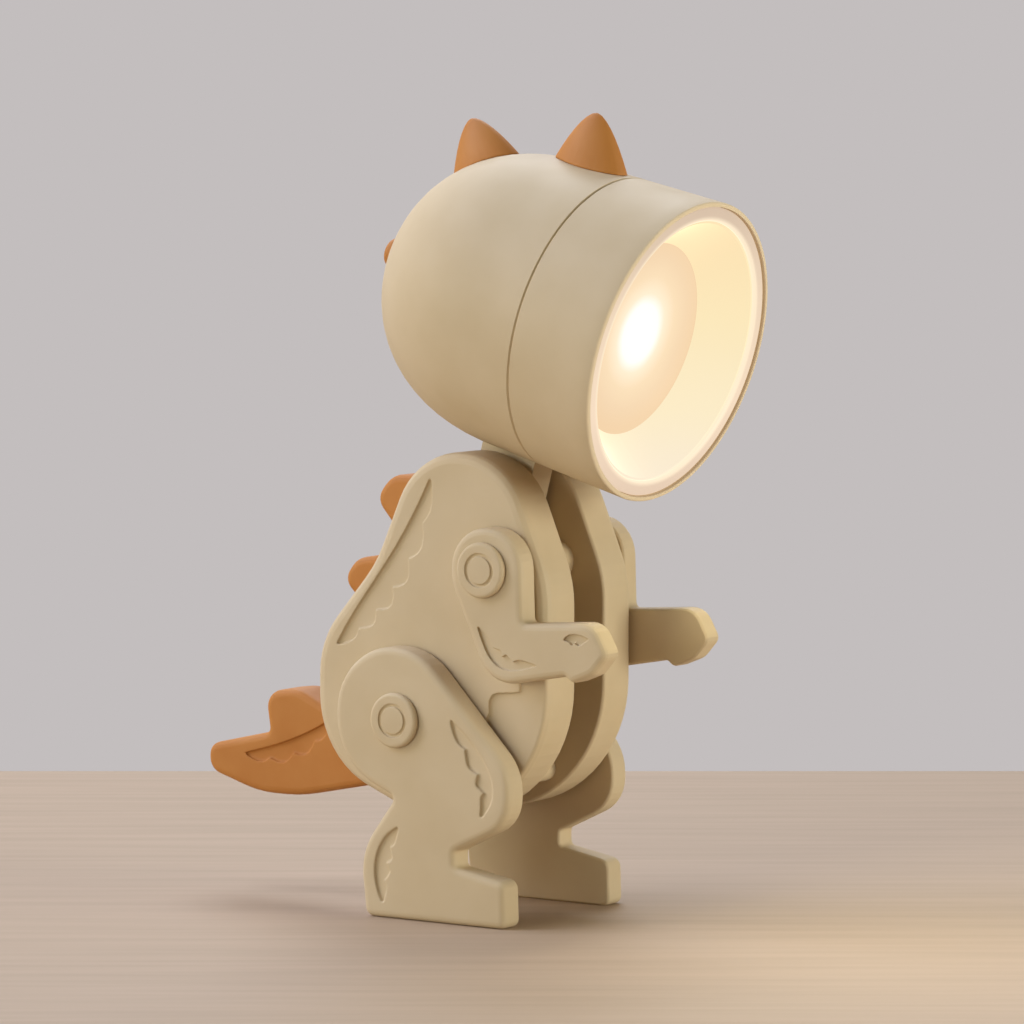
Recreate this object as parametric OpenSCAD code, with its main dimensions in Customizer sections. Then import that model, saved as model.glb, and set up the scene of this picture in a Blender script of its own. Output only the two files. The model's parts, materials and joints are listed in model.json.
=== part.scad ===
// Free-standing mini desk lamp in the shape of a standing dinosaur.
// The lamp looks along +X and stands with its soles on Z = 0.
// Two thick side plates sandwich an orange core; head, arms and legs turn on pins across them.

/* [Stance] */
// Height of the hip pivots above the soles
hip_h = 30.6; // [29.4:0.2:33]
// Shoulder pivots ahead of the hips
shoulder_ahead = 15.8; // [15:0.2:17]
// Shoulder pivots above the hips
shoulder_up = 23.7; // [22.8:0.1:24.6]
// Neck pivot ahead of the hips
neck_ahead = 8.1; // [7.4:0.1:8.8]
// Neck pivot above the hips
neck_up = 28.5; // [27.5:0.1:30]
// Nose-down tilt of the head at rest, in degrees
head_pitch = 15; // [8:1:20]

/* [Body plates] */
// Thickness of each side plate
plate_t = 8; // [6.5:0.5:10]
// Space between the two plates
plate_gap = 8; // [7.5:0.5:10]
// Radius of the round shoulder hump about the neck pivot
hump_r = 12.3; // [11.6:0.1:12.6]
// Front of the belly ahead of the hips
belly_ahead = 24.4; // [23.5:0.1:26]
// Back of the rump behind the hips
rump_behind = 18.4; // [17.4:0.1:20]
// Edge rounding of the plates
plate_round = 1.6; // [0.6:0.1:2]

/* [Legs] */
// Thickness of a leg
leg_t = 4.3; // [3.5:0.1:6]
// Radius of the round hip
hip_r = 11.5; // [11:0.1:12]
// Front of the knee ahead of the hip
knee_ahead = 20.6; // [19.6:0.1:23]
// Tip of the toes ahead of the hip
toe_ahead = 19.9; // [17:0.1:23]
// Heel behind the hip
heel_behind = 6; // [4.4:0.1:6.6]
// Height of the foot at the toes
foot_h = 7.1; // [5:0.1:7.6]

/* [Arms] */
// Thickness of an arm
arm_t = 4; // [3.5:0.1:6]
// Radius of the round shoulder
shoulder_r = 6.2; // [5.8:0.1:6.6]
// Depth of the elbow below the shoulder
elbow_drop = 17.7; // [16.8:0.1:18.4]
// Tip of the hand ahead of the shoulder
hand_ahead = 22.2; // [21:0.1:24]
// Edge rounding of arms and legs
limb_round = 1; // [0.5:0.1:1.2]

/* [Limb pivots] */
// Radius of the rivet shanks
rivet_r = 1.8; // [1.5:0.1:2]
// Radius of the rivet caps
cap_r = 4.2; // [3.6:0.1:5]
// Height of the rivet caps above the limb
cap_h = 1; // [0.8:0.1:1.6]
// Radius of the ring groove in a cap
cap_ring_r = 2.6; // [2:0.1:3]
// Radius of the spacer tubes between the plates
spacer_r = 3; // [2.6:0.1:3.2]
// Radius of the friction washers under the limbs
washer_r = 5; // [4.4:0.1:5.6]
// Thickness of the friction washers
washer_t = 0.2; // [0.2:0.1:0.6]

/* [Core] */
// Tip of the tail behind the hips
tail_behind = 45.8; // [44.8:0.1:48]
// Gap between the core pieces and each plate
core_gap = 0.3; // [0.1:0.1:0.6]
// Edge rounding of spines and tail
core_round = 1.1; // [0.6:0.1:1.3]
// Radius of the dowels that pin the core
dowel_r = 1.5; // [1.2:0.1:1.8]
// Depth of the dowels and posts in each plate
dowel_depth = 4; // [2.5:0.1:5]
// Radius of the post that joins the plates at the belly
post_r = 2; // [1.8:0.1:2.6]

/* [Neck] */
// Thickness of the neck link
neck_t = 5.4; // [4.6:0.1:5.8]
// Width of the neck link along the head
neck_w = 10; // [9:0.1:10.4]
// Radius of the neck pin
neck_pin_r = 2; // [1.6:0.1:2.4]
// Depth of the neck pin in each plate
neck_pin_depth = 5; // [4:0.1:6]
// Neck centre line behind the rim
neck_back = 24; // [23:0.1:25]
// Gap between the head's lowest line and the shoulder hump
head_gap = 0.3; // [0.1:0.1:1.5]

/* [Head shell] */
// Radius of the rim
head_r = 23.4; // [22:0.1:25]
// Narrowing of the barrel from the rim to its back
barrel_taper = 0.7; // [0.2:0.1:1.4]
// Length of the tapered barrel
barrel_l = 24; // [22.6:0.1:26]
// Length of the rounded back
dome_l = 26.1; // [25.5:0.1:29]
// Fullness of the rounded back: 2 is an ellipse and more is squarer
dome_fullness = 2.25; // [2:0.05:2.6]
// Wall of the head shells
shell_t = 1.6; // [1.3:0.1:1.9]
// Distance of the seam behind the rim
seam_back = 15; // [15:0.1:16]
// Rounding of the rim
rim_round = 0.35; // [0.2:0.05:0.5]

/* [Lamp front] */
// Width of the bare rim around the bezel ring
rim_w = 0.7; // [0.5:0.05:1]
// Width of the bezel ring
bezel_w = 2.25; // [1.8:0.05:2.8]
// Depth of the bezel seat behind the rim
bezel_seat = 2.2; // [1.6:0.1:3]
// Depth of the reflector cup behind the rim
cup_depth = 7.5; // [6.5:0.1:8.5]
// Widening of the reflector cup from the lit disc to the bezel
cup_flare = 5.3; // [4.5:0.1:7]
// Thickness of the diffuser disc
disc_t = 1.2; // [0.8:0.1:1.6]
// Thickness of the reflector wall
cup_t = 1; // [0.8:0.1:1.3]

/* [Crest] */
// Thickness of the crest fins at their feet
fin_t = 6.2; // [5:0.1:7]
// Middle of the front fin behind the rim
front_fin_back = 22.5; // [22.3:0.1:24]
// Length of the front fin's foot along the head
front_fin_l = 12.8; // [11:0.1:13.4]
// Height of the front fin
front_fin_h = 8.1; // [6.5:0.1:10]
// Middle of the rear fin behind the rim
rear_fin_back = 41.4; // [39.5:0.1:42]
// Length of the rear fin's foot along the head
rear_fin_l = 11.5; // [10:0.1:12.5]
// Height of the rear fin
rear_fin_h = 7.2; // [6:0.1:9]

/* [Electrics] */
// Thickness of the lamp board
board_t = 1; // [0.8:0.1:1.6]
// Room between the diffuser and the lamp board
light_room = 3.7; // [3:0.1:4]
// Width of the light-emitting chip
led_w = 5; // [3:0.5:6]
// Diameter of a button cell
cell_d = 11.6; // [10:0.1:12]
// Thickness of a button cell
cell_t = 5.4; // [4:0.1:5.6]
// Number of button cells
cell_count = 3; // [2:1:3]
// Wall of the battery carrier
carrier_t = 1.5; // [1.2:0.1:2]
// Width of the switch body
switch_w = 8.5; // [7:0.1:9]
// Length of the switch body
switch_l = 8; // [7:0.1:8.4]
// Radius of the push button
button_r = 2.4; // [2:0.1:4]
// How far the button stands out of the head
button_proud = 4.7; // [2.5:0.1:5.6]
// Travel of the button
button_travel = 1.5; // [0.8:0.1:1.8]

/* [Relief] */
// Depth of the moulded skin patches
relief_d = 0.5; // [0.3:0.1:0.8]

/* [Fits] */
// Radial clearance of pieces that turn or slide on a pin
run_fit = 0.05; // [0.03:0.01:0.09]
// Radial clearance of pressed and glued pieces
press_fit = 0.02; // [0.01:0.01:0.04]
// Gap between faces that slide past each other
slide_gap = 0.1; // [0.05:0.05:0.2]

/* [Hidden] */

$fn = 72;
beige = "#C8B48E";
orange = "#C5803F";
pearl = "#EDE3DB";
cream = "#FFF0CC";
brass = "#C9A24A";
steel = "#B4B7BA";
green = "#2F7D4F";
grey = "#6E7073";

// Largest distance of an arc's chords from the true arc
arc_sag = 0.03;
// Steps of an edge rounding
round_steps = 3;
// Chamfer on edges that lie against a neighbour
edge_break = 0.3;
// Shape of the skin patches: how blunt their ends are and how deep the scallops cut
patch_bluntness = 0.6;
scallop_depth = 0.34;
// Overrun of cutting shapes
over = 1;
// Wide enough to reach past the lamp in any direction
far = 60;

// Radius at the back of the tapered barrel, and the head axis above the neck pivot
waist_r = head_r - barrel_taper;
neck_drop = waist_r + hump_r + head_gap;

// Origin under the middle of the lamp's length: half way between tail tip and rim top
front_reach = neck_ahead + cos(head_pitch) * (neck_back - rim_round)
    + sin(head_pitch) * (neck_drop + head_r - rim_round) + rim_round;
hip_x = (tail_behind - front_reach) / 2;

shoulder = [shoulder_ahead, shoulder_up];
neck = [neck_ahead, neck_up];
core_t = plate_gap - 2 * core_gap;
limb_y = plate_gap / 2 + plate_t + washer_t + slide_gap;

// How far the hump's tangent corners lie from the neck, and the haunch's from the hip, in radii
hump_front = 0.68;
hump_back = 0.66;
haunch = 0.61;
// How much lower the top of the hip is than a full round
hip_flat = 0.5;
// Straight left between two round corners
round_spare = 0.1;

// Corner lists run counter-clockwise as [forward, up, corner radius]

plate_corners = [
    [belly_ahead, -25.4, 20.5],
    [belly_ahead, 21.5, 18],
    [neck[0] + hump_front * hump_r, neck[1] + hump_r, hump_r - round_spare],
    [neck[0] - hump_back * hump_r, neck[1] + hump_r, hump_r - round_spare],
    [-7.6, 23.4, 20],
    [-rump_behind, 10.8, 14],
    [-rump_behind, -7.6, 15]
];

// Lowered skin over the belly, run out past the front edge of the plate
belly_corners = [
    [belly_ahead - 12.4, -17, 0.5],
    [belly_ahead + over, -17, 0.5],
    [belly_ahead + over, 9, 0.5],
    [belly_ahead - 4.4, 9, 0.5],
    [belly_ahead - 4.9, 5, 0.4],
    [belly_ahead - 10.5, 4.5, 1.8],
    [belly_ahead - 10.4, 1.4, 1.2],
    [belly_ahead - 12.4, -1.6, 1.6]
];

leg_corners = [
    [-heel_behind, -hip_h, 1.4],
    [toe_ahead, -hip_h, 1.2],
    [toe_ahead - 0.2, foot_h - hip_h, 1.6],
    [10.6, foot_h + 1.6 - hip_h, 0.8],
    [10.6, 11.2 - hip_h, 0.8],
    [knee_ahead, -14.6, 6],
    [knee_ahead, -6.6, 8.5],
    [3.8, hip_r - hip_flat, hip_r - hip_flat],
    [-hip_r, hip_r - hip_flat, hip_r - 2 * hip_flat - round_spare],
    [-hip_r, -haunch * hip_r, hip_r - hip_flat],
    [-0.6, -hip_r - hip_flat, 0.8],
    [-heel_behind - 1.1, 9.8 - hip_h, 10]
];

arm_corners = [
    [1, -elbow_drop, 6],
    [hand_ahead - 7.6, 2.4 - elbow_drop, 0.6],
    [hand_ahead - 6.4, 1.4 - elbow_drop, 1.2],
    [hand_ahead - 2.6, 2.9 - elbow_drop, 2.6],
    [hand_ahead, 5.9 - elbow_drop, 1.4],
    [hand_ahead - 2.6, -7, 3.4],
    [7, -7.8, 0.8],
    [shoulder_r + 4 * round_spare, shoulder_r + round_spare, shoulder_r],
    [round_spare - shoulder_r, shoulder_r + round_spare, shoulder_r],
    [round_spare - shoulder_r, -2.2, 8]
];

tail_corners = [
    [-5, -10.6, 1.5],
    [-7, -1.5, 2],
    [-21.4, -1.4, 8],
    [-28.2, 1.8, 4.5],
    [-34.8, 1, 2.8],
    [-33.8, -5.4, 0.8],
    [-tail_behind, -8.1, 2],
    [-tail_behind, -12.2, 2.6],
    [-36, -15.2, 20],
    [-28, -15.2, 30]
];

spine_corners = [
    [-15.4, 6.2, 1.4],
    [-10, 6.2, 1.4],
    [-2.6, 21, 6],
    [0.2, 36.4, 1.4],
    [-10.2, 36.3, 4.2],
    [-13.3, 32.4, 2.4],
    [-6.6, 24.6, 2],
    [-17, 22.9, 3.4],
    [-19.5, 19.5, 2.2],
    [-13.4, 13.4, 2]
];

// Where dowels pin the core pieces, and the belly post
dowels = [[-9.4, -7.4], [-13.4, -4], [-9.6, 12.6], [-3, 29]];
belly_post_at = [13.5, -8.5];

// Head stations, measured back from the rim
barrel_slope = barrel_taper / barrel_l;
ring_bore_r = barrel_r(seam_back) - shell_t;
seam_groove = 0.25;
spigot_l = 3;
spigot_t = 1.2;
spigot_bore_r = ring_bore_r - spigot_t;
rib_t = 1.2;
rib_h = 1.3;
rib_r = spigot_bore_r - rib_h;
cavity_r = waist_r - shell_t;
bezel_gap = 0.15;
bezel_r = head_r - rim_w - bezel_gap;
bezel_hole_r = bezel_r - bezel_w;
bezel_sunk = 0.35;
bezel_break = 0.25;
bezel_skirt = 2.3;
cup_start = 0.9;
cup_land = 0.35;
cup_lip = 0.1;
disc_lip = 0.7;
disc_r = bezel_hole_r - cup_flare;
disc_seat_r = disc_r + disc_lip;
cup_tube_r = disc_seat_r + cup_t;
board_s = cup_depth + disc_t + light_room;
flange_s = board_s + board_t;
flange_t = seam_back - flange_s;
contact_t = 0.4;
contact_r = cell_d / 2 - 1;
bow_r = 1.6;
cells_s = flange_s + contact_t;
rear_contact_t = 1.2;
cells_end_s = cells_s + cell_count * cell_t;
carrier_end_s = cells_end_s + rear_contact_t + carrier_t;
cell_gap = 3 * run_fit;
carrier_r = cell_d / 2 + cell_gap + carrier_t;
pole_s = barrel_l + dome_l;
switch_end_s = carrier_end_s + switch_l;
collar_t = 1.5;
collar_l = 4.2;
collar_s = pole_s - shell_t - collar_l;
collar_sunk = 0.2;
button_flange_t = 1.5;
button_flange_s = collar_s - slide_gap - button_flange_t;
button_flange_in = 0.3;
button_round = 0.9;
plunger_r = 1.5;
plunger_engage = 3;
wire_r = 0.45;
wire_off = 9.5;
terminal_t = 0.8;
terminal_in = 3;
terminal_s = carrier_end_s + terminal_in;
peg_t = 2.4;
peg_l = 5;
peg_in = 3;
// Crest fins: how deep their feet start, how far the tips lean back, and how round the sides are
fin_sink = 1.5;
front_fin_lean = 0.8;
rear_fin_lean = 0.1;
fin_bulge = 0.62;
fin_rings = 8;
fin_sides = 28;
neck_washer_in = 0.5;

// Outer radius of the tapered barrel at a distance behind the rim
function barrel_r(s) = head_r - barrel_slope * s;

// Rounded back of the head as [radius, ahead of the rim], squarer than an ellipse
function dome_curve(r, l) =
    let (power = 2 / dome_fullness)
    [for (a = [0:5:90]) [r * pow(cos(a), power), -barrel_l - l * pow(sin(a), power)]];

// Outer radius of the head at a distance behind the rim
function head_outer_r(s) = s < barrel_l ? barrel_r(s)
    : waist_r * pow(1 - pow((s - barrel_l) / dome_l, dome_fullness), 1 / dome_fullness);

// Direction along the top of the head, forwards, as [ahead, up]
function head_forward(s) = unit([0.2, head_outer_r(s - 0.1) - head_outer_r(s + 0.1)]);

function unit(v) = v / norm(v);
function flat(p) = [p[0], p[1]];
function left_of(v) = [-v[1], v[0]];
function spin(v, a) = [v[0] * cos(a) - v[1] * sin(a), v[0] * sin(a) + v[1] * cos(a)];
function bend_of(u, v) = atan2(u[0] * v[1] - u[1] * v[0], u * v);
function arc_count(r, bend) = max(1, ceil(abs(bend) / (2 * acos(1 - arc_sag / max(r, 0.5)))));

// Arc that rounds corner b between its neighbours a and c, on the outline moved in by inset
function corner_arc(a, b, c, inset) =
    let (u = unit(flat(b) - flat(a)), v = unit(flat(c) - flat(b)))
    let (bend = bend_of(u, v), side = sign(bend), r = max(b[2] - side * inset, 0.02))
    let (shift = (left_of(u) + left_of(v)) / (1 + u * v))
    let (first = flat(b) + inset * shift - u * r * tan(abs(bend) / 2))
    let (mid = first + side * r * left_of(u), count = arc_count(b[2], bend))
    [for (k = [0:count]) mid + spin(first - mid, bend * k / count)];

// Closed outline through rounded corners, moved in by inset
function outline(corners, inset = 0) =
    let (n = len(corners))
    [for (i = [0:n - 1]) each corner_arc(corners[(i + n - 1) % n], corners[i], corners[(i + 1) % n], inset)];

// Quarter-round edge as [height, inset] layers, from the full outline up to the face at t
function rounded_edge(t, r) =
    [for (k = [0:round_steps]) let (a = 90 * k / round_steps) [t - r + r * sin(a), r * (1 - cos(a))]];

// Cubic curve through four control points
function curve_at(p, t) =
    pow(1 - t, 3) * p[0] + 3 * pow(1 - t, 2) * t * p[1] + 3 * (1 - t) * t * t * p[2] + pow(t, 3) * p[3];
function curve_side(p, t) = left_of(unit(curve_at(p, t + 0.01) - curve_at(p, t - 0.01)));

// Width of a skin patch along its length: blunt ends and scallops between
function patch_width(t, w, lobes) =
    w * pow(sin(180 * t), patch_bluntness) * (1 - scallop_depth * (1 - abs(sin(180 * lobes * t))));

// Skin patch with one smooth side along a curve and a scalloped side to its left
function patch_outline(p, w, lobes) =
    let (n = 6 * lobes)
    concat(
        [for (k = [0:n]) curve_at(p, k / n)],
        [for (k = [n - 1:-1:1]) curve_at(p, k / n) + curve_side(p, k / n) * patch_width(k / n, w, lobes)]
    );

// Twice the area of the triangle abc, positive where the path turns left
function turn(a, b, c) = (b[0] - a[0]) * (c[1] - a[1]) - (b[1] - a[1]) * (c[0] - a[0]);
function within(p, a, b, c) = turn(a, b, p) >= 0 && turn(b, c, p) >= 0 && turn(c, a, p) >= 0;

// True where the corner j, between i and k, can be cut off without touching the rest of the loop
function is_ear(points, loop, i, j, k) =
    turn(points[i], points[j], points[k]) > 0
    && len([for (q = loop) if (q != i && q != j && q != k)
        if (within(points[q], points[i], points[j], points[k])) q]) == 0;
function ear_from(points, loop, j) =
    let (n = len(loop))
    j >= n - 1 || is_ear(points, loop, loop[(j + n - 1) % n], loop[j], loop[(j + 1) % n])
        ? j : ear_from(points, loop, j + 1);

// Triangles that fill a loop of points, hollow corners too, cut off one at a time
function fill_loop(points, loop, done = []) =
    let (n = len(loop), j = ear_from(points, loop, 0))
    n < 3 ? done : fill_loop(
        points,
        [for (i = [1:n - 1]) loop[(j + i) % n]],
        concat(done, [[loop[(j + n - 1) % n], loop[j], loop[(j + 1) % n]]])
    );

// Solid through the same outline at several layers of [height, inset]
module loft(corners, layers) {
    n = len(outline(corners));
    last = len(layers) - 1;
    loop = [for (i = [0:n - 1]) i];
    rings = [for (layer = layers) each [for (p = outline(corners, layer[1])) [p[0], p[1], layer[0]]]];
    walls = [
        for (k = [0:last - 1], i = [0:n - 1])
            let (j = (i + 1) % n, low = k * n, high = low + n)
            each [[low + i, high + i, high + j], [low + i, high + j, low + j]]
    ];
    base = fill_loop(outline(corners, layers[0][1]), loop);
    lid = fill_loop(outline(corners, layers[last][1]), loop);
    top = [for (f = lid) [for (k = [2:-1:0]) last * n + f[k]]];
    polyhedron(rings, concat(walls, base, top));
}

// Plate with a rounded outer edge and a small break on its inner edge
module slab(corners, t, r) {
    loft(corners, concat([[0, edge_break], [edge_break, 0]], rounded_edge(t, r)));
}

// Plate rounded on both faces, centred on its thickness
module pebble(corners, t, r) {
    half = rounded_edge(t / 2, r);
    back = [for (k = [round_steps:-1:0]) [-half[k][0], half[k][1]]];
    loft(corners, concat(back, half));
}

module skin_patch(p, w, lobes) {
    polygon(patch_outline(p, w, lobes));
}

// Drawing plane turned upright: height runs out to the lamp's right side
module upright() {
    translate([hip_x, 0, hip_h]) rotate([90, 0, 0]) children();
}

module on_left() {
    mirror([0, 1, 0]) children();
}

module at(p, h = 0) {
    translate([p[0], p[1], h]) children();
}

module bore(p, r, from, depth) {
    at(p, from - over) cylinder(r = r, h = depth + over);
}

// Frame of the head: rim centre, +X out of the lamp along its axis
module in_head() {
    translate([hip_x + neck[0], 0, hip_h + neck[1]])
        rotate([0, head_pitch, 0])
            translate([neck_back, 0, neck_drop])
                children();
}

module lathe(points) {
    rotate([0, 90, 0]) rotate_extrude() polygon(points);
}

// Cylinder on the head axis between two stations behind the rim
module rod(r, from, to) {
    translate([-to, 0, 0]) rotate([0, 90, 0]) cylinder(r = r, h = to - from);
}

module body_plate() {
    outer = plate_gap / 2 + plate_t;
    back_patch = [
        [3.9 - rump_behind, 10.3],
        [8.4 - rump_behind, 18.5],
        [neck[0] - 11.6, neck[1] - 5],
        [neck[0] - 4.9, neck[1] + 8.5]
    ];
    color(beige) upright() difference() {
        translate([0, 0, plate_gap / 2]) slab(plate_corners, plate_t, plate_round);
        for (p = [[0, 0], shoulder]) bore(p, rivet_r + press_fit, plate_gap / 2, plate_t + over);
        bore(neck, neck_pin_r + press_fit, plate_gap / 2, neck_pin_depth);
        for (p = concat(dowels, [belly_post_at])) bore(p, dowel_r + press_fit, plate_gap / 2, dowel_depth);
        translate([0, 0, outer - relief_d]) linear_extrude(relief_d + over) {
            skin_patch(back_patch, -4.8, 6);
            polygon(outline(belly_corners));
        }
    }
}

module right_body_plate() {
    body_plate();
}

module left_body_plate() {
    on_left() body_plate();
}

module spine_strip() {
    color(orange) upright() difference() {
        pebble(spine_corners, core_t, core_round);
        for (p = [dowels[2], dowels[3]]) bore(p, dowel_r + press_fit, -plate_gap / 2, plate_gap);
    }
}

module tail() {
    patch = [[7.2 - tail_behind, -9], [13.3 - tail_behind, -7.6], [-26.5, -5.6], [-21.8, -2.6]];
    color(orange) upright() difference() {
        pebble(tail_corners, core_t, core_round);
        for (p = [dowels[0], dowels[1]]) bore(p, dowel_r + press_fit, -plate_gap / 2, plate_gap);
        for (side = [0, 1]) mirror([0, 0, side])
            translate([0, 0, core_t / 2 - relief_d])
                linear_extrude(relief_d + over) skin_patch(patch, -3.2, 4);
    }
}

module core_dowels() {
    reach = plate_gap / 2 + dowel_depth;
    color(steel) upright() for (p = dowels) at(p, -reach) cylinder(r = dowel_r, h = 2 * reach);
}

module belly_post() {
    reach = plate_gap / 2 + dowel_depth;
    color(beige) upright() at(belly_post_at) {
        cylinder(r = post_r, h = plate_gap, center = true);
        cylinder(r = dowel_r, h = 2 * reach, center = true);
    }
}

module spacer(p) {
    color(beige) upright() at(p) difference() {
        cylinder(r = spacer_r, h = plate_gap, center = true);
        cylinder(r = rivet_r + press_fit, h = plate_gap + 2 * over, center = true);
    }
}

module hip_spacer() {
    spacer([0, 0]);
}

module shoulder_spacer() {
    spacer(shoulder);
}

module neck_pin() {
    reach = plate_gap / 2 + neck_pin_depth;
    color(steel) upright() at(neck) cylinder(r = neck_pin_r, h = 2 * reach, center = true);
}

module limb_washers() {
    face = plate_gap / 2 + plate_t;
    color(grey) upright() for (p = [[0, 0], shoulder], side = [0, 1])
        mirror([0, 0, side]) at(p, face) difference() {
            cylinder(r = washer_r, h = washer_t);
            translate([0, 0, -over]) cylinder(r = rivet_r + press_fit, h = washer_t + 2 * over);
        }
}

// Rivet of one limb: ringed cap outside the limb, shank pressed into the spacer tube
module rivet(p, limb_t) {
    shank_from = 1;
    under_cap = limb_y + limb_t + slide_gap;
    soft = 0.5;
    ring_w = 0.5;
    ring_d = 0.3;
    color(beige) upright() at(p) difference() {
        rotate_extrude() polygon(concat(
            [[0, shank_from], [rivet_r, shank_from], [rivet_r, under_cap], [cap_r, under_cap]],
            [for (a = [0:22.5:90]) [cap_r - soft + soft * cos(a), under_cap + cap_h - soft + soft * sin(a)]],
            [[0, under_cap + cap_h]]
        ));
        translate([0, 0, under_cap + cap_h - ring_d]) difference() {
            cylinder(r = cap_ring_r, h = over);
            translate([0, 0, -over]) cylinder(r = cap_ring_r - ring_w, h = 3 * over);
        }
    }
}

module right_hip_rivet() {
    rivet([0, 0], leg_t);
}

module left_hip_rivet() {
    on_left() rivet([0, 0], leg_t);
}

module right_shoulder_rivet() {
    rivet(shoulder, arm_t);
}

module left_shoulder_rivet() {
    on_left() rivet(shoulder, arm_t);
}

// Limb blank with its pivot bore and pockets for the skin patches
module limb(corners, t, patches) {
    color(beige) difference() {
        translate([0, 0, limb_y]) slab(corners, t, limb_round);
        bore([0, 0], rivet_r + run_fit, limb_y, t + over);
        translate([0, 0, limb_y + t - relief_d]) linear_extrude(relief_d + over)
            for (patch = patches) skin_patch(patch[0], patch[1], patch[2]);
    }
}

module leg() {
    knee_patch = [
        [knee_ahead - 10.6, 0.8],
        [knee_ahead - 5.4, -3.2],
        [knee_ahead + 0.4, -9.5],
        [knee_ahead - 5.2, -14]
    ];
    heel_patch = [
        [6.4 - heel_behind, 14.3 - hip_h],
        [1.4 - heel_behind, 12 - hip_h],
        [0.8 - heel_behind, 6.1 - hip_h],
        [3.4 - heel_behind, 2.2 - hip_h]
    ];
    upright() limb(leg_corners, leg_t, [[knee_patch, -3, 4], [heel_patch, 3, 4]]);
}

module right_leg() {
    leg();
}

module left_leg() {
    on_left() leg();
}

module arm() {
    elbow_patch = [
        [-1.1, 9.3 - elbow_drop],
        [1.1, 3 - elbow_drop],
        [2.9, 1.5 - elbow_drop],
        [9.8, 3.8 - elbow_drop]
    ];
    hand_patch = [
        [hand_ahead - 7.7, -9.8],
        [hand_ahead - 7.1, -8.4],
        [hand_ahead - 4.6, -8.6],
        [hand_ahead - 3.2, -9.4]
    ];
    upright() at(shoulder) limb(arm_corners, arm_t, [[elbow_patch, 2.4, 4], [hand_patch, -1.9, 2]]);
}

module right_arm() {
    arm();
}

module left_arm() {
    on_left() arm();
}

// Inside of the rear shell, a little smaller by the given gap
module rear_cavity(gap) {
    start = seam_back + rib_t;
    lathe(concat(
        [[0, -start], [cavity_r - gap, -start]],
        dome_curve(cavity_r - gap, dome_l - shell_t - gap)
    ));
}

module neck_link() {
    saddle_w = 13;
    saddle_l = 13.6;
    saddle_h = 3;
    top = -cavity_r + saddle_h;
    color(beige) in_head() difference() {
        union() {
            rotate([90, 0, 0]) linear_extrude(neck_t, center = true)
                translate([-neck_back, -neck_drop]) {
                    circle(r = neck_w / 2);
                    translate([-neck_w / 2, 0]) square([neck_w, neck_drop + top]);
                }
            intersection() {
                rear_cavity(press_fit);
                translate([-neck_back - saddle_l / 2, -saddle_w / 2, -far])
                    cube([saddle_l, saddle_w, far + top]);
            }
        }
        translate([-neck_back, 0, -neck_drop]) rotate([90, 0, 0])
            cylinder(r = neck_pin_r + run_fit, h = plate_gap, center = true);
    }
}

module neck_washers() {
    room = (plate_gap - neck_t) / 2;
    color(grey) upright() for (side = [0, 1]) mirror([0, 0, side]) at(neck, neck_t / 2) difference() {
        cylinder(r = neck_w / 2 - neck_washer_in, h = room - slide_gap);
        translate([0, 0, -over]) cylinder(r = neck_pin_r + run_fit, h = room + 2 * over);
    }
}

// Full outer form of the head behind the seam
module rear_form() {
    lathe(concat(
        [[0, -seam_back], [barrel_r(seam_back) - seam_groove, -seam_back]],
        [[barrel_r(seam_back + seam_groove), -seam_back - seam_groove]],
        dome_curve(waist_r, dome_l)
    ));
}

// Peg that holds a crest fin, through the top of the shell
module fin_peg(s, gap) {
    translate([-s - peg_l / 2 - gap, -peg_t / 2 - gap, head_outer_r(s) - peg_in])
        cube([peg_l + 2 * gap, peg_t + 2 * gap, 2 * peg_in]);
}

module head_rear_shell() {
    spigot_r = ring_bore_r - press_fit;
    spigot_s = seam_back - spigot_l;
    color(beige) in_head() difference() {
        union() {
            difference() {
                union() {
                    rear_form();
                    rod(spigot_r, spigot_s, seam_back + over);
                }
                rod(spigot_bore_r, spigot_s - over, seam_back);
                rod(rib_r, seam_back - over, seam_back + rib_t + over);
                rear_cavity(0);
            }
            rod(button_r + run_fit + collar_t, collar_s, pole_s - shell_t - collar_sunk);
        }
        rod(button_r + run_fit, collar_s - over, pole_s + over);
        translate([-neck_back - neck_w / 2 - press_fit, -neck_t / 2 - press_fit, -far])
            cube([neck_w + 2 * press_fit, neck_t + 2 * press_fit, far - cavity_r / 2]);
        for (s = [front_fin_back, rear_fin_back]) fin_peg(s, press_fit);
    }
}

module head_front_ring() {
    seat_r = head_r - rim_w;
    color(beige) in_head() lathe(concat(
        [[ring_bore_r, -bezel_seat], [seat_r, -bezel_seat], [seat_r, 0]],
        [for (a = [90:-22.5:0]) [head_r - rim_round + rim_round * cos(a), -rim_round + rim_round * sin(a)]],
        [[barrel_r(seam_back - seam_groove), seam_groove - seam_back]],
        [[barrel_r(seam_back) - seam_groove, -seam_back], [ring_bore_r, -seam_back]]
    ));
}

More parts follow.
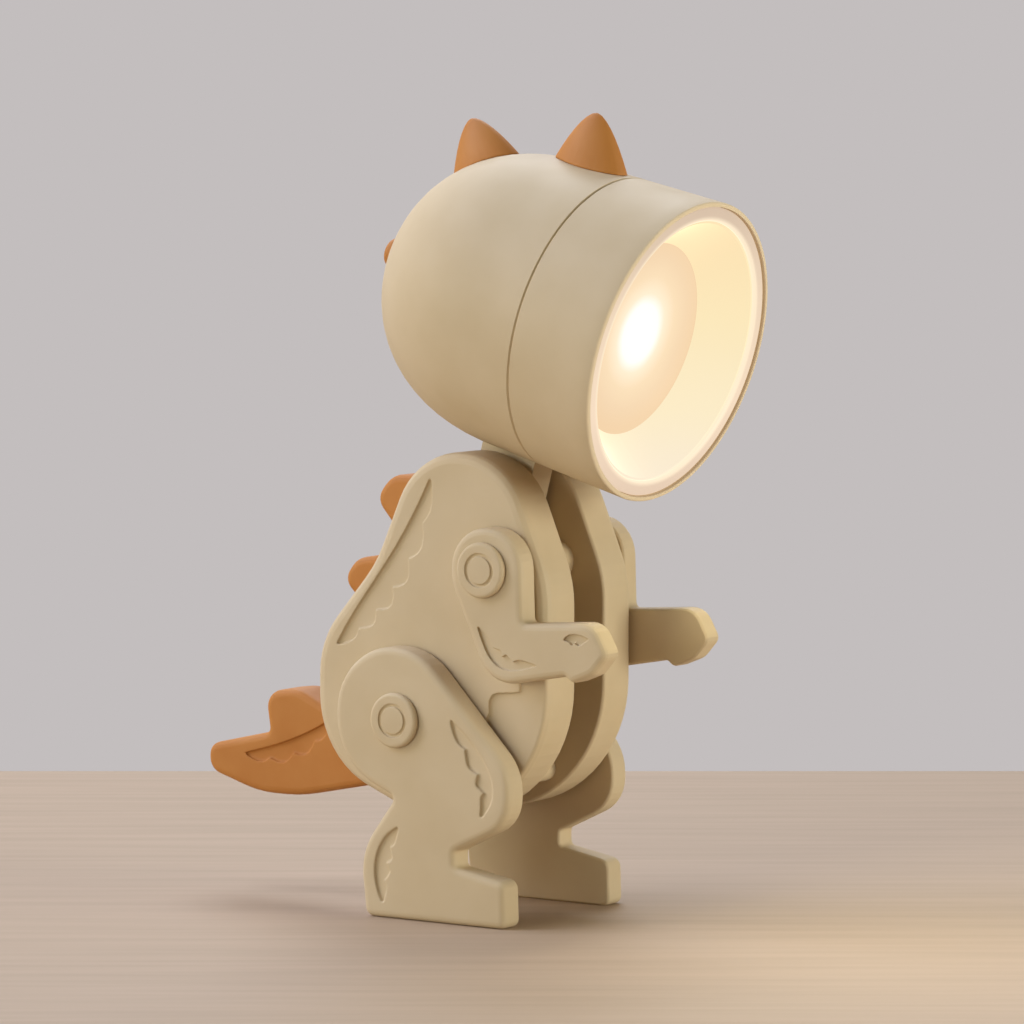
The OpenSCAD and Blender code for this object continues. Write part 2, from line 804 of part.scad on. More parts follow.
// Rounded horn of elliptic rings that narrow to a tip, standing on the top of the head
module horn(s, l, h, lean) {
    ahead = head_forward(s);
    up = left_of(ahead);
    foot = [-s, head_outer_r(s)];
    widest = pow(1 + fin_sink / h, fin_bulge);
    shares = [for (k = [0:fin_rings - 1]) widest * (1 - k / fin_rings)];
    rings = [
        for (share = shares)
            let (rise = 1 - pow(share, 1 / fin_bulge), mid = foot + rise * (h * up - lean * ahead))
            each [
                for (i = [0:fin_sides - 1])
                    let (a = 360 * i / fin_sides, p = mid + share * l / 2 * cos(a) * ahead)
                    [p[0], share * fin_t / 2 * sin(a), p[1]]
            ]
    ];
    tip = foot + h * up - lean * ahead;
    n = fin_sides;
    top = (fin_rings - 1) * n;
    walls = [
        for (k = [0:fin_rings - 2], i = [0:n - 1])
            let (j = (i + 1) % n, low = k * n, high = low + n)
            each [[low + i, high + i, high + j], [low + i, high + j, low + j]]
    ];
    cap = [for (i = [0:n - 1]) [top + i, fin_rings * n, top + (i + 1) % n]];
    base = [[for (i = [0:n - 1]) i]];
    polyhedron(concat(rings, [[tip[0], 0, tip[1]]]), concat(walls, cap, base));
}

module crest_fin(s, l, h, lean) {
    color(orange) in_head() {
        difference() {
            horn(s, l, h, lean);
            rear_form();
        }
        fin_peg(s, 0);
    }
}

module front_crest_fin() {
    crest_fin(front_fin_back, front_fin_l, front_fin_h, front_fin_lean);
}

module rear_crest_fin() {
    crest_fin(rear_fin_back, rear_fin_l, rear_fin_h, rear_fin_lean);
}

module bezel_ring() {
    skirt_end = bezel_seat + bezel_skirt;
    color(pearl) in_head() lathe([
        [bezel_hole_r, -bezel_sunk - bezel_break],
        [bezel_hole_r + bezel_break, -bezel_sunk],
        [bezel_r - bezel_break, -bezel_sunk],
        [bezel_r, -bezel_sunk - bezel_break],
        [bezel_r, -bezel_seat],
        [ring_bore_r - press_fit, -bezel_seat],
        [ring_bore_r - press_fit, -skirt_end],
        [bezel_hole_r, -skirt_end]
    ]);
}

module reflector_cup() {
    front_r = bezel_hole_r - press_fit;
    color(cream) in_head() lathe([
        [front_r, -cup_start],
        [front_r - cup_land, -cup_start],
        [disc_r, cup_lip - cup_depth],
        [disc_seat_r, -cup_depth],
        [disc_seat_r, -board_s],
        [cup_tube_r, -board_s],
        [cup_tube_r, -cup_depth],
        [front_r, -cup_start - cup_t]
    ]);
}

module diffuser_disc() {
    color(cream) in_head() rod(disc_seat_r - press_fit, cup_depth, cup_depth + disc_t);
}

module led_chip() {
    base_h = 0.8;
    color("ivory") in_head() {
        translate([-board_s, -led_w / 2, -led_w / 2]) cube([base_h, led_w, led_w]);
        translate([-board_s + base_h, 0, 0]) rotate([0, 90, 0])
            cylinder(r1 = 0.4 * led_w, r2 = 0.3 * led_w, h = base_h);
    }
}

module lamp_board() {
    color(green) in_head() rod(cup_tube_r, board_s, flange_s);
}

// Stations of the two lead wires, beside the cells
module wire_places() {
    for (side = [-1, 1]) translate([0, side * wire_off, 0]) children();
}

module battery_carrier() {
    hole_r = cell_d / 2 + cell_gap;
    color(grey) in_head() difference() {
        union() {
            rod(spigot_bore_r - press_fit, flange_s, flange_s + flange_t);
            rod(carrier_r, flange_s, carrier_end_s);
        }
        rod(hole_r, flange_s - over, carrier_end_s - carrier_t);
        wire_places() rod(wire_r + run_fit, flange_s - over, flange_s + flange_t + over);
    }
}

module button_cells() {
    crimp = 0.5;
    color(steel) in_head() for (k = [0:cell_count - 1]) translate([-cells_s - k * cell_t, 0, 0]) {
        rod(cell_d / 2 - crimp, 0, crimp);
        rod(cell_d / 2, crimp, cell_t - press_fit);
    }
}

module front_contact() {
    color(brass) in_head() rod(contact_r, flange_s, cells_s);
}

// Bowed contact leaf behind the last cell
module rear_contact() {
    color(brass) in_head() lathe([
        [0, -cells_end_s],
        [bow_r, -cells_end_s],
        [contact_r, -cells_end_s - rear_contact_t + contact_t],
        [contact_r, -cells_end_s - rear_contact_t],
        [bow_r, -cells_end_s - contact_t],
        [0, -cells_end_s - contact_t]
    ]);
}

module lead_wires() {
    color("firebrick") in_head() wire_places() rod(wire_r, flange_s, terminal_s);
}

module switch_body() {
    bore_s = switch_end_s - plunger_engage - button_travel - slide_gap;
    color(grey) in_head() difference() {
        translate([-switch_end_s, -switch_w / 2, -switch_w / 2]) cube([switch_l, switch_w, switch_w]);
        rod(plunger_r + run_fit, bore_s, switch_end_s + over);
    }
}

module switch_terminals() {
    terminal_w = 2;
    reach = wire_off + wire_r;
    color(brass) in_head() for (side = [0, 1]) mirror([0, side, 0])
        translate([-terminal_s - terminal_t, switch_w / 2, -terminal_w / 2])
            cube([terminal_t, reach - switch_w / 2, terminal_w]);
}

module switch_plunger() {
    color("white") in_head() rod(plunger_r, switch_end_s - plunger_engage, button_flange_s);
}

module switch_button() {
    end_s = pole_s + button_proud;
    flange_r = button_r + run_fit + collar_t - button_flange_in;
    color(orange) in_head() lathe(concat(
        [[0, -button_flange_s], [flange_r, -button_flange_s]],
        [[flange_r, -button_flange_s - button_flange_t], [button_r, -button_flange_s - button_flange_t]],
        [for (a = [0:15:90]) [button_r - button_round + button_round * cos(a),
            -end_s + button_round - button_round * sin(a)]],
        [[0, -end_s]]
    ));
}

right_body_plate();
left_body_plate();
spine_strip();
tail();
core_dowels();
belly_post();
hip_spacer();
shoulder_spacer();
neck_pin();
limb_washers();
right_hip_rivet();
left_hip_rivet();
right_shoulder_rivet();
left_shoulder_rivet();
right_leg();
left_leg();
right_arm();
left_arm();
neck_link();
neck_washers();
head_rear_shell();
head_front_ring();
front_crest_fin();
rear_crest_fin();
bezel_ring();
reflector_cup();
diffuser_disc();
led_chip();
lamp_board();
battery_carrier();
button_cells();
front_contact();
rear_contact();
lead_wires();
switch_body();
switch_terminals();
switch_plunger();
switch_button();
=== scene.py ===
import json
import math

import bpy
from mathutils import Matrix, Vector

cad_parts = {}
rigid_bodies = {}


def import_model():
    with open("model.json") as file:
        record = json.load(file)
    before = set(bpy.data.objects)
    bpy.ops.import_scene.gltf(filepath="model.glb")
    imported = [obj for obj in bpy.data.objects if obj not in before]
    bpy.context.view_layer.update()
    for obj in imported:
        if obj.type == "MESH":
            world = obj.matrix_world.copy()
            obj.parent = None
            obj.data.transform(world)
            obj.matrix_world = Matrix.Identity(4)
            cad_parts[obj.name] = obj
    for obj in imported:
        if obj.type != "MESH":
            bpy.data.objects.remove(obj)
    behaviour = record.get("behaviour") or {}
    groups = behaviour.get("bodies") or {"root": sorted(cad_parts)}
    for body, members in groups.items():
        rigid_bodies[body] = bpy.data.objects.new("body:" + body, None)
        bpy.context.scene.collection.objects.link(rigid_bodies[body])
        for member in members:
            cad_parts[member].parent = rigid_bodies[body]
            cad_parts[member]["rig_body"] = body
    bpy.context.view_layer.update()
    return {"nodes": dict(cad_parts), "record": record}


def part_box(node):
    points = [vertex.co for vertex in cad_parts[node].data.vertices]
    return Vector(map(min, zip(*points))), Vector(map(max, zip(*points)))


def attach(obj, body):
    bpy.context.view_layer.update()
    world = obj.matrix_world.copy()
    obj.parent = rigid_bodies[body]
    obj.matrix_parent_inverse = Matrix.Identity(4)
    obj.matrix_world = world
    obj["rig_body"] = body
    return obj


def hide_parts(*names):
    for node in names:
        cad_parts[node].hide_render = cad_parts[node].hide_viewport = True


# Lengths are in metres, or in millimetres where a name ends in Mm
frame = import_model()
nodes = frame["nodes"]
slotOf = {row["node"]: row["material_slot"] for row in frame["record"]["subparts"]}
scene = bpy.context.scene
scene.view_settings.view_transform = "Standard"
print("frame loaded:", len(nodes), "pieces")


def hexColour(code):  # sRGB hex to linear
    channels = [int(code[i:i + 2], 16) / 255 for i in (1, 3, 5)]
    linear = [c / 12.92 if c <= 0.04045 else ((c + 0.055) / 1.055) ** 2.4 for c in channels]
    return (*linear, 1.0)


def perMetre(mm):  # noise scale for a pattern of this size
    return 1000 / mm


def metres(mm):
    return mm / 1000


def addNode(tree, kind, settings=None, links=None):  # keys name a property or a socket of the node
    node = tree.nodes.new(kind)
    for key, value in (settings or {}).items():
        if isinstance(key, str) and hasattr(node, key):
            setattr(node, key, value)
        else:
            node.inputs[key].default_value = value
    for key, source in (links or {}).items():
        tree.links.new(source, node.inputs[key])
    return node


def newMaterial(name):
    material = bpy.data.materials.new(name)
    material.use_nodes = True
    tree = material.node_tree
    tree.nodes.clear()
    return material, tree


def dress(mesh, finish):
    mesh.materials.clear()
    mesh.materials.append(finish)


mixShare, mixFrom, mixTo, mixOut = 0, 6, 7, 2  # sockets of a Mix node that blends colours
noiseSpan = {"From Min": 0.3, "From Max": 0.7}  # where most values of a noise lie


# Moulded plastics: soft mottle in the colour, a sheen that wanders a little, and a fine grain
# that is drawn coarser than the real one so that it shows
def mouldedPlastic(spec):
    material, tree = newMaterial(spec["name"])
    place = addNode(tree, "ShaderNodeTexCoord").outputs["Object"]
    mottle = addNode(tree, "ShaderNodeTexNoise",
                     {"Scale": perMetre(spec["mottleMm"]), "Detail": 3.0, "Roughness": 0.55},
                     {"Vector": place}).outputs[0]
    blend = addNode(tree, "ShaderNodeMapRange", noiseSpan, {"Value": mottle}).outputs[0]
    colour = addNode(tree, "ShaderNodeMix",
                     {"data_type": "RGBA", mixFrom: hexColour(spec["colour"]),
                      mixTo: hexColour(spec["shade"])}, {mixShare: blend}).outputs[mixOut]
    grain = addNode(tree, "ShaderNodeTexNoise",
                    {"Scale": perMetre(spec["grainMm"]), "Detail": 2.0}, {"Vector": place}).outputs[0]
    gloss = addNode(tree, "ShaderNodeMapRange",
                    {**noiseSpan, "To Min": spec["rough"][0], "To Max": spec["rough"][1]},
                    {"Value": mottle}).outputs[0]
    bump = addNode(tree, "ShaderNodeBump",
                   {"Strength": spec["grainStrength"], "Distance": metres(spec["grainDepthMm"])},
                   {"Height": grain}).outputs[0]
    shader = addNode(tree, "ShaderNodeBsdfPrincipled",
                     {"IOR": spec["ior"], "Specular IOR Level": spec["sheen"]},
                     {"Base Color": colour, "Roughness": gloss, "Normal": bump})
    # painted glow: lamp light caught along a lip is painted on as emission
    if "paintedLipGlow" in spec:  # lamp light caught along a lip
        paintedLipGlow = spec["paintedLipGlow"]
        depth = addNode(tree, "ShaderNodeVectorMath",
                        {"operation": "DOT_PRODUCT", 1: paintedLipGlow["along"]}, {0: place}).outputs["Value"]
        paintedGlowShare = addNode(tree, "ShaderNodeMapRange",
                         {"interpolation_type": "SMOOTHSTEP", "From Min": paintedLipGlow["from"],
                          "From Max": paintedLipGlow["to"], "To Max": paintedLipGlow["most"]}, {"Value": depth}).outputs[0]
        shader.inputs["Emission Color"].default_value = hexColour(paintedLipGlow["tone"])
        tree.links.new(paintedGlowShare, shader.inputs["Emission Strength"])
        material.cycles.emission_sampling = "NONE"  # a faint glow, so the lamps keep the samples
    addNode(tree, "ShaderNodeOutputMaterial", None, {"Surface": shader.outputs[0]})
    return material


# Worked metals: grinding and press lines along one axis, wider than real ones so that they show
workedLines = {"run": 20, "strength": 0.15, "depthMm": 0.02}


def workedMetal(spec):
    material, tree = newMaterial(spec["name"])
    place = addNode(tree, "ShaderNodeTexCoord").outputs["Object"]
    drawn = addNode(tree, "ShaderNodeMapping", {"Scale": (1.0, 1 / workedLines["run"], 1.0)},
                    {"Vector": place}).outputs[0]
    lines = addNode(tree, "ShaderNodeTexNoise",
                    {"Scale": perMetre(spec["lineMm"]), "Detail": 4.0}, {"Vector": drawn}).outputs[0]
    colour = addNode(tree, "ShaderNodeMix",
                     {"data_type": "RGBA", mixFrom: hexColour(spec["colour"]),
                      mixTo: hexColour(spec["shade"])}, {mixShare: lines}).outputs[mixOut]
    gloss = addNode(tree, "ShaderNodeMapRange",
                    {**noiseSpan, "To Min": spec["rough"][0], "To Max": spec["rough"][1]},
                    {"Value": lines}).outputs[0]
    bump = addNode(tree, "ShaderNodeBump",
                   {"Strength": workedLines["strength"], "Distance": metres(workedLines["depthMm"])},
                   {"Height": lines}).outputs[0]
    shader = addNode(tree, "ShaderNodeBsdfPrincipled", {"Metallic": 1.0},
                     {"Base Color": colour, "Roughness": gloss, "Normal": bump})
    addNode(tree, "ShaderNodeOutputMaterial", None, {"Surface": shader.outputs[0]})
    return material


# Glowing plastics: light and shade painted on as emission, set out by height or by distance from a
# centre, with a faint mould mottle
def paintedGlowPlastic(spec):
    material, tree = newMaterial(spec["name"])
    place = addNode(tree, "ShaderNodeTexCoord").outputs["Object"]
    if "centre" in spec:
        reach = addNode(tree, "ShaderNodeVectorMath",
                        {"operation": "DISTANCE", 1: spec["centre"]}, {0: place}).outputs["Value"]
    else:
        reach = addNode(tree, "ShaderNodeSeparateXYZ", None, {0: place}).outputs["Z"]
    spread = addNode(tree, "ShaderNodeMapRange",
                     {"From Min": spec["from"], "From Max": spec["to"]}, {"Value": reach}).outputs[0]
    mottle = addNode(tree, "ShaderNodeTexNoise",
                     {"Scale": perMetre(spec["mottleMm"]), "Detail": 2.0}, {"Vector": place}).outputs[0]
    wander = addNode(tree, "ShaderNodeMapRange",
                     {"To Min": -spec["mottle"], "To Max": spec["mottle"]}, {"Value": mottle}).outputs[0]
    along = addNode(tree, "ShaderNodeMath", {"operation": "ADD"}, {0: spread, 1: wander}).outputs[0]
    ramp = addNode(tree, "ShaderNodeValToRGB", None, {0: along})
    stops = ramp.color_ramp.elements
    first, *between, last = spec["tones"]
    stops[0].position, stops[0].color = first[0], hexColour(first[1])
    stops[1].position, stops[1].color = last[0], hexColour(last[1])
    for position, code in between:
        stops.new(position).color = hexColour(code)
    light = ramp.outputs[0]
    # painted glow: light spilling along the inner edge is painted on as emission
    if "inner" in spec:  # spill of light along the inner edge
        edge = spec["inner"]
        radius = addNode(tree, "ShaderNodeVectorMath",
                         {"operation": "DISTANCE", 1: edge["centre"]}, {0: place}).outputs["Value"]
        fade = addNode(tree, "ShaderNodeMapRange",
                       {"interpolation_type": "SMOOTHSTEP", "From Min": edge["from"],
                        "From Max": edge["to"], "To Min": edge["most"], "To Max": 0.0},
                       {"Value": radius}).outputs[0]
        light = addNode(tree, "ShaderNodeMix", {"data_type": "RGBA", mixTo: hexColour(edge["tone"])},
                        {mixShare: fade, mixFrom: light}).outputs[mixOut]
    shader = addNode(tree, "ShaderNodeBsdfPrincipled",
                     {"Roughness": spec["rough"], "IOR": spec["ior"],
                      "Base Color": hexColour(spec["body"]), "Emission Strength": 1.0},
                     {"Emission Color": light})
    addNode(tree, "ShaderNodeOutputMaterial", None, {"Surface": shader.outputs[0]})
    material.cycles.emission_sampling = "NONE"  # a faint glow, so the lamps keep the samples
    return material


# Lamp head: where its pieces with painted light take their tones from; the chip shows a little high
# through the disc
head = {"tiltDegrees": 15, "rimAheadMm": 8.1, "chipUpMm": 0.9, "chipBehindMm": 0.7}
tilt = math.radians(head["tiltDegrees"])
headAxis = Vector((math.cos(tilt), 0, -math.sin(tilt)))
discLow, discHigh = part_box("diffuser_disc")
discCentre = (discLow + discHigh) / 2
hotSpot = discCentre + Vector((0, 0, metres(head["chipUpMm"]))) - headAxis * metres(head["chipBehindMm"])
rimCentre = discCentre + headAxis * metres(head["rimAheadMm"])
cupLow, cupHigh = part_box("reflector_cup")
bezelLow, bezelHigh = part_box("bezel_ring")

# Surface that ABS takes from a spark-eroded die, whose real grain is about 0.05 mm
absGrain = {"grainMm": 0.3, "grainStrength": 0.12, "grainDepthMm": 0.012, "ior": 1.5, "sheen": 0.3}
beige = {**absGrain, "name": "beigeMouldedAbs", "colour": "#D0BC9B", "shade": "#C9B491",
         "mottleMm": 14.0, "rough": (0.55, 0.65)}
finishes = {
    # matte moulded ABS: soft and powdery, no sharp highlight
    "beige_abs": mouldedPlastic(beige),
    # the same moulding in orange, a touch silkier
    "orange_abs": mouldedPlastic({
        **absGrain, "name": "orangeMouldedAbs", "colour": "#BD7E3D", "shade": "#B57434",
        "mottleMm": 9.0, "rough": (0.53, 0.63)}),
    # satin moulded ABS: a pale ring with the lamp's light painted on as emission, painted shade towards
    # its top and bottom, and a painted glow along its inner edge
    "pearl_abs": paintedGlowPlastic({
        "name": "pearlMouldedAbsPaintedGlow", "from": bezelLow.z, "to": bezelHigh.z,
        "mottleMm": 8.0, "mottle": 0.05,
        "tones": ((0.0, "#DAC2AB"), (0.3, "#EBD4BA"), (0.65, "#E2CCB2"), (1.0, "#C8B29C")),
        "inner": {"centre": rimCentre, "from": metres(20.3), "to": metres(21.3),
                  "tone": "#FBE9CB", "most": 0.95},
        "body": "#4A4038", "rough": 0.4, "ior": 1.5}),
    # satin moulded polycarbonate: the lamp's light on the cup painted on as emission, palest low down
    # and warmer at the top
    "cream_reflector": paintedGlowPlastic({
        "name": "creamMouldedPolycarbonatePaintedGlow", "from": cupLow.z, "to": cupHigh.z,
        "mottleMm": 12.0, "mottle": 0.04,
        "tones": ((0.0, "#F4E5CC"), (0.25, "#F6E6C2"), (0.6, "#F7E4B8"), (1.0, "#F6DCAE")),
        "body": "#2E2A22", "rough": 0.35, "ior": 1.58}),
    # opal moulded acrylic: white hot where the chip sits behind it, peach towards the edge
    "opal_diffuser": paintedGlowPlastic({
        "name": "opalMouldedPmma", "centre": hotSpot, "from": 0.0, "to": metres(15.0),
        "mottleMm": 9.0, "mottle": 0.03,
        "tones": ((0.0, "#FFFFFF"), (0.32, "#FFFEF8"), (0.43, "#FBE9CC"), (0.6, "#F3D9B4"),
                  (0.8, "#EDD0AB"), (1.0, "#EBCBA3")),
        "body": "#2A241C", "rough": 0.5, "ior": 1.49}),
    # moulded nylon: dull grey with a waxy glint
    "grey_nylon": mouldedPlastic({
        "name": "greyMouldedNylon", "colour": "#707276", "shade": "#66686B", "mottleMm": 6.0,
        "grainMm": 0.4, "grainStrength": 0.2, "grainDepthMm": 0.02,
        "rough": (0.45, 0.55), "ior": 1.53, "sheen": 0.5}),
    # pressed glass-fibre laminate: flat green, half gloss, a trace of weave
    "board_laminate": mouldedPlastic({
        "name": "greenPressedLaminate", "colour": "#2F7D4F", "shade": "#28703F", "mottleMm": 4.0,
        "grainMm": 0.6, "grainStrength": 0.2, "grainDepthMm": 0.02,
        "rough": (0.35, 0.45), "ior": 1.55, "sheen": 0.5}),
    # cast resin: clear yellow with a wet gleam
    "led_resin": mouldedPlastic({
        "name": "yellowCastResin", "colour": "#F6E08A", "shade": "#F2D76E", "mottleMm": 2.0,
        "grainMm": 0.3, "grainStrength": 0.05, "grainDepthMm": 0.01,
        "rough": (0.25, 0.3), "ior": 1.5, "sheen": 0.5}),
    # extruded PVC: plain red, softly shiny
    "wire_sleeve": mouldedPlastic({
        "name": "redExtrudedPvc", "colour": "#A8322B", "shade": "#9A2B26", "mottleMm": 3.0,
        "grainMm": 0.3, "grainStrength": 0.1, "grainDepthMm": 0.01,
        "rough": (0.35, 0.45), "ior": 1.53, "sheen": 0.5}),
    # ground steel: cool grey, finely lined
    "pin_steel": workedMetal({
        "name": "groundSteel", "colour": "#B9BCC0", "shade": "#A9ACB0",
        "lineMm": 0.3, "rough": (0.28, 0.4)}),
    # pressed nickel-plated steel: paler and brighter, softly lined
    "cell_steel": workedMetal({
        "name": "pressedNickelSteel", "colour": "#C6C7C8", "shade": "#B7B8BA",
        "lineMm": 0.5, "rough": (0.2, 0.32)}),
    # pressed brass: warm yellow, half bright
    "contact_brass": workedMetal({
        "name": "pressedBrass", "colour": "#D2AE5A", "shade": "#C29A45",
        "lineMm": 0.4, "rough": (0.22, 0.35)}),
}
for nodeName, slotName in slotOf.items():
    dress(nodes[nodeName].data, finishes[slotName])

# Front ring: the same beige ABS, the lamp's light painted as a faint glow on its lip; depths are taken
# back from the rim
lip = {"deepMm": 0.4, "shallowMm": 0.05, "tone": "#E8D4B8", "most": 0.17}
rimAt = rimCentre.dot(headAxis)
dress(nodes["head_front_ring"].data, mouldedPlastic({
    **beige, "name": "beigeMouldedAbsPaintedLipGlow",
    "paintedLipGlow": {"along": headAxis, "from": rimAt - metres(lip["deepMm"]),
              "to": rimAt - metres(lip["shallowMm"]), "tone": lip["tone"], "most": lip["most"]}}))
print("finishes set:", len(finishes) + 1)


# Soft moulding: a solid skinned finely, its edges and pocket walls eased as a die leaves them
def softMould(pieceName, nodeName, spec):
    source = nodes[nodeName]
    piece = bpy.data.objects.new(pieceName, source.data.copy())
    scene.collection.objects.link(piece)
    skin = piece.modifiers.new("skin", "REMESH")
    skin.mode = "VOXEL"
    skin.voxel_size = metres(spec["voxelMm"])
    ease = piece.modifiers.new("ease", "SMOOTH")
    ease.factor = spec["ease"]
    ease.iterations = spec["easeSteps"]
    thin = piece.modifiers.new("thin", "DECIMATE")
    thin.ratio = spec["keep"]
    shaped = piece.evaluated_get(bpy.context.evaluated_depsgraph_get())
    piece.data = bpy.data.meshes.new_from_object(shaped)
    piece.modifiers.clear()
    piece.data.shade_smooth()
    dress(piece.data, finishes[slotOf[nodeName]])
    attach(piece, source["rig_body"])
    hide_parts(nodeName)
    return len(piece.data.polygons)


moulding = {"voxelMm": 0.16, "ease": 0.5, "easeSteps": 3, "keep": 0.15}
mouldings = {
    "rightPlateMoulding": "right_body_plate", "leftPlateMoulding": "left_body_plate",
    "spineMoulding": "spine_strip", "tailMoulding": "tail",
    "rightLegMoulding": "right_leg", "leftLegMoulding": "left_leg",
    "frontFinMoulding": "front_crest_fin", "rearFinMoulding": "rear_crest_fin",
}
# Pieces with the finest marks are skinned more finely
fineMoulding = {**moulding, "voxelMm": 0.1, "easeSteps": 4}
fineMouldings = {
    "rightArmMoulding": "right_arm", "leftArmMoulding": "left_arm",
    "rightHipRivetMoulding": "right_hip_rivet", "leftHipRivetMoulding": "left_hip_rivet",
    "rightShoulderRivetMoulding": "right_shoulder_rivet",
    "leftShoulderRivetMoulding": "left_shoulder_rivet",
}
for pieces, spec in ((mouldings, moulding), (fineMouldings, fineMoulding)):
    for pieceName, nodeName in pieces.items():
        print("moulded", pieceName, softMould(pieceName, nodeName, spec), "faces")

# Turned head shells: one even sheen across the narrow bands, true edges left sharp
evenSkin = {"pieces": ("head_rear_shell", "head_front_ring"), "weldMm": 0.002, "sharpDegrees": 20.0}
skinTree = bpy.data.node_groups.new("evenSkin", "GeometryNodeTree")
for end in ("INPUT", "OUTPUT"):
    skinTree.interface.new_socket("Geometry", in_out=end, socket_type="NodeSocketGeometry")
given = addNode(skinTree, "NodeGroupInput").outputs[0]
welded = addNode(skinTree, "GeometryNodeMergeByDistance", {"Distance": metres(evenSkin["weldMm"])},
                 {"Geometry": given}).outputs[0]
plain = addNode(skinTree, "GeometryNodeRemoveAttribute", {"Name": "custom_normal"},
                {"Geometry": welded}).outputs[0]
bend = addNode(skinTree, "GeometryNodeInputMeshEdgeAngle").outputs[0]
shallow = addNode(skinTree, "FunctionNodeCompare",
                  {"data_type": "FLOAT", "operation": "LESS_THAN",
                   1: math.radians(evenSkin["sharpDegrees"])}, {0: bend}).outputs[0]
smooth = addNode(skinTree, "GeometryNodeSetShadeSmooth", {"domain": "FACE", "Shade Smooth": True},
                 {"Geometry": plain}).outputs[0]
edged = addNode(skinTree, "GeometryNodeSetShadeSmooth", {"domain": "EDGE"},
                {"Geometry": smooth, "Shade Smooth": shallow}).outputs[0]
addNode(skinTree, "NodeGroupOutput", None, {0: edged})
for nodeName in evenSkin["pieces"]:
    nodes[nodeName].modifiers.new("evenSkin", "NODES").node_group = skinTree
print("shells evened:", len(evenSkin["pieces"]))

# Camera where the photograph was taken from
camera = {"azimuth": 34.05, "elevation": 4.61, "distance": 0.84257,
          "target": (0.0098, 0.0, 0.06171), "lens": 193.36, "sensor": 36.0}
az, el = math.radians(camera["azimuth"]), math.radians(camera["elevation"])
back = Vector((math.sin(az) * math.cos(el), -math.cos(az) * math.cos(el), math.sin(el)))
cameraData = bpy.data.cameras.new("camera")
cameraData.sensor_width = camera["sensor"]
cameraData.lens = camera["lens"]
cameraObject = bpy.data.objects.new("camera", cameraData)
scene.collection.objects.link(cameraObject)
cameraObject.location = Vector(camera["target"]) + back * camera["distance"]
cameraObject.rotation_euler = (-back).to_track_quat("-Z", "Y").to_euler()
scene.camera = cameraObject
print("camera set")

# Level directions on the table: towards the eye and to its right
eyeNear = Vector((back.x, back.y, 0)).normalized()
eyeRight = Vector((-eyeNear.y, eyeNear.x, 0))
middle = Vector((camera["target"][0], camera["target"][1], 0))

# Table: plain pale lacquered wood, satin, with faint long grain across the view
table = {"behind": 0.1695, "ahead": 0.5, "side": 0.5, "colour": "#BAA38B", "shade": "#B19B83",
         "grainMm": 4.0, "stretch": 16.0, "span": (0.32, 0.68), "rough": 0.6, "sheen": 0.2}
corners = [middle + eyeNear * near + eyeRight * right for near, right in (
    (-table["behind"], -table["side"]), (table["ahead"], -table["side"]),
    (table["ahead"], table["side"]), (-table["behind"], table["side"]))]
tableMesh = bpy.data.meshes.new("tableTop")
tableMesh.from_pydata([tuple(corner) for corner in corners], [], [(0, 1, 2, 3)])
tableObject = bpy.data.objects.new("tableTop", tableMesh)
scene.collection.objects.link(tableObject)
tableMaterial, tableTree = newMaterial("paleLacqueredWood")
place = addNode(tableTree, "ShaderNodeTexCoord").outputs["Object"]
turned = addNode(tableTree, "ShaderNodeMapping",
                 {"vector_type": "TEXTURE", "Rotation": (0, 0, math.atan2(eyeRight.y, eyeRight.x)),
                  "Scale": (table["stretch"], 1.0, 1.0)}, {"Vector": place}).outputs[0]
streak = addNode(tableTree, "ShaderNodeTexNoise", {"Scale": perMetre(table["grainMm"]), "Detail": 5.0},
                 {"Vector": turned}).outputs[0]
lines = addNode(tableTree, "ShaderNodeMapRange",
                {"From Min": table["span"][0], "From Max": table["span"][1]},
                {"Value": streak}).outputs[0]
colour = addNode(tableTree, "ShaderNodeMix",
                 {"data_type": "RGBA", mixFrom: hexColour(table["colour"]),
                  mixTo: hexColour(table["shade"])}, {mixShare: lines}).outputs[mixOut]
shader = addNode(tableTree, "ShaderNodeBsdfPrincipled",
                 {"Roughness": table["rough"], "Specular IOR Level": table["sheen"]},
                 {"Base Color": colour})
addNode(tableTree, "ShaderNodeOutputMaterial", None, {"Surface": shader.outputs[0]})
dress(tableMesh, tableMaterial)
print("table set")

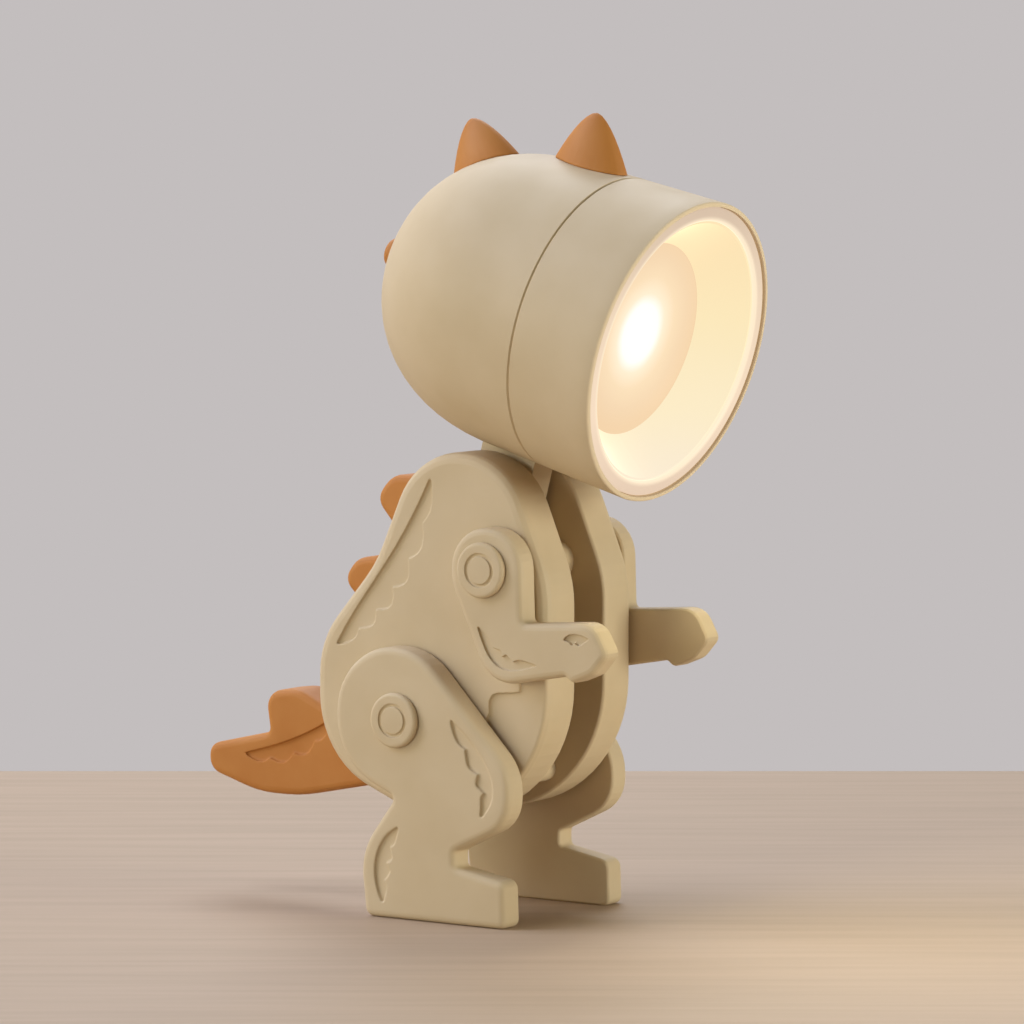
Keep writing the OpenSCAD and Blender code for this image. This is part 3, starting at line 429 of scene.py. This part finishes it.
# Room: pale wall to the eye and to gloss, even soft light to everything else
room = {"wall": "#C3BEBE", "light": "#FFE8C8", "strength": 0.04}
world = bpy.data.worlds.new("studio")
scene.world = world
world.use_nodes = True
roomTree = world.node_tree
roomTree.nodes.clear()
path = addNode(roomTree, "ShaderNodeLightPath")
seen = addNode(roomTree, "ShaderNodeMath", {"operation": "MAXIMUM"},
               {0: path.outputs["Is Camera Ray"], 1: path.outputs["Is Glossy Ray"]}).outputs[0]
seenAll = addNode(roomTree, "ShaderNodeMath", {"operation": "MAXIMUM"},
                  {0: seen, 1: path.outputs["Is Transmission Ray"]}).outputs[0]
wall = addNode(roomTree, "ShaderNodeBackground",
               {"Color": hexColour(room["wall"]), "Strength": 1.0}).outputs[0]
soft = addNode(roomTree, "ShaderNodeBackground",
               {"Color": hexColour(room["light"]), "Strength": room["strength"]}).outputs[0]
mixed = addNode(roomTree, "ShaderNodeMixShader", None, {0: seenAll, 1: soft, 2: wall}).outputs[0]
addNode(roomTree, "ShaderNodeOutputWorld", None, {"Surface": mixed})


def areaLight(name, at, towards, size, spec):
    data = bpy.data.lights.new(name, "AREA")
    data.shape = "DISK"
    data.size = size
    data.energy = spec["watts"]
    data.color = hexColour(spec["colour"])[:3]
    lamp = bpy.data.objects.new(name, data)
    scene.collection.objects.link(lamp)
    lamp.location = at
    lamp.rotation_euler = (towards - at).to_track_quat("-Z", "Y").to_euler()
    return lamp


# Soft lamps about the object: each side is given as right, towards the eye and up
studio = {"distance": 1.0, "size": 0.6, "aimHeight": 0.06}
studioLamps = {
    "leftLight": {"side": (-1.0, 0.1, 0.3), "watts": 2.6, "colour": "#FFF1CB"},
    "leftHighLight": {"side": (-0.8, 0.0, 0.6), "watts": 5.0, "colour": "#D2DCFF"},
    "leftFrontLight": {"side": (-0.7, 0.7, 0.1), "watts": 3.3, "colour": "#F8FFF5"},
    "topLight": {"side": (-0.4, -0.2, 0.9), "watts": 4.2, "colour": "#E4ECFF"},
    "backLight": {"side": (0.0, -0.7, 0.75), "watts": 5.4, "colour": "#EEF4FF"},
    "rightLight": {"side": (1.0, 0.4, 0.06), "watts": 8.2, "colour": "#FFFFF0"},
}
heart = middle + Vector((0, 0, studio["aimHeight"]))
for lampName, spec in studioLamps.items():
    right, near, up = spec["side"]
    way = (eyeRight * right + eyeNear * near + Vector((0, 0, up))).normalized()
    areaLight(lampName, heart + way * studio["distance"], heart, studio["size"], spec)

# Light of the lamp itself, riding on the head
glow = {"ahead": 0.001, "size": 0.038, "watts": 0.085, "colour": "#FFF5CF"}
glowAt = rimCentre + headAxis * glow["ahead"]
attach(areaLight("lampGlow", glowAt, glowAt + headAxis, glow["size"], glow), "head")
print("room and lamps set")
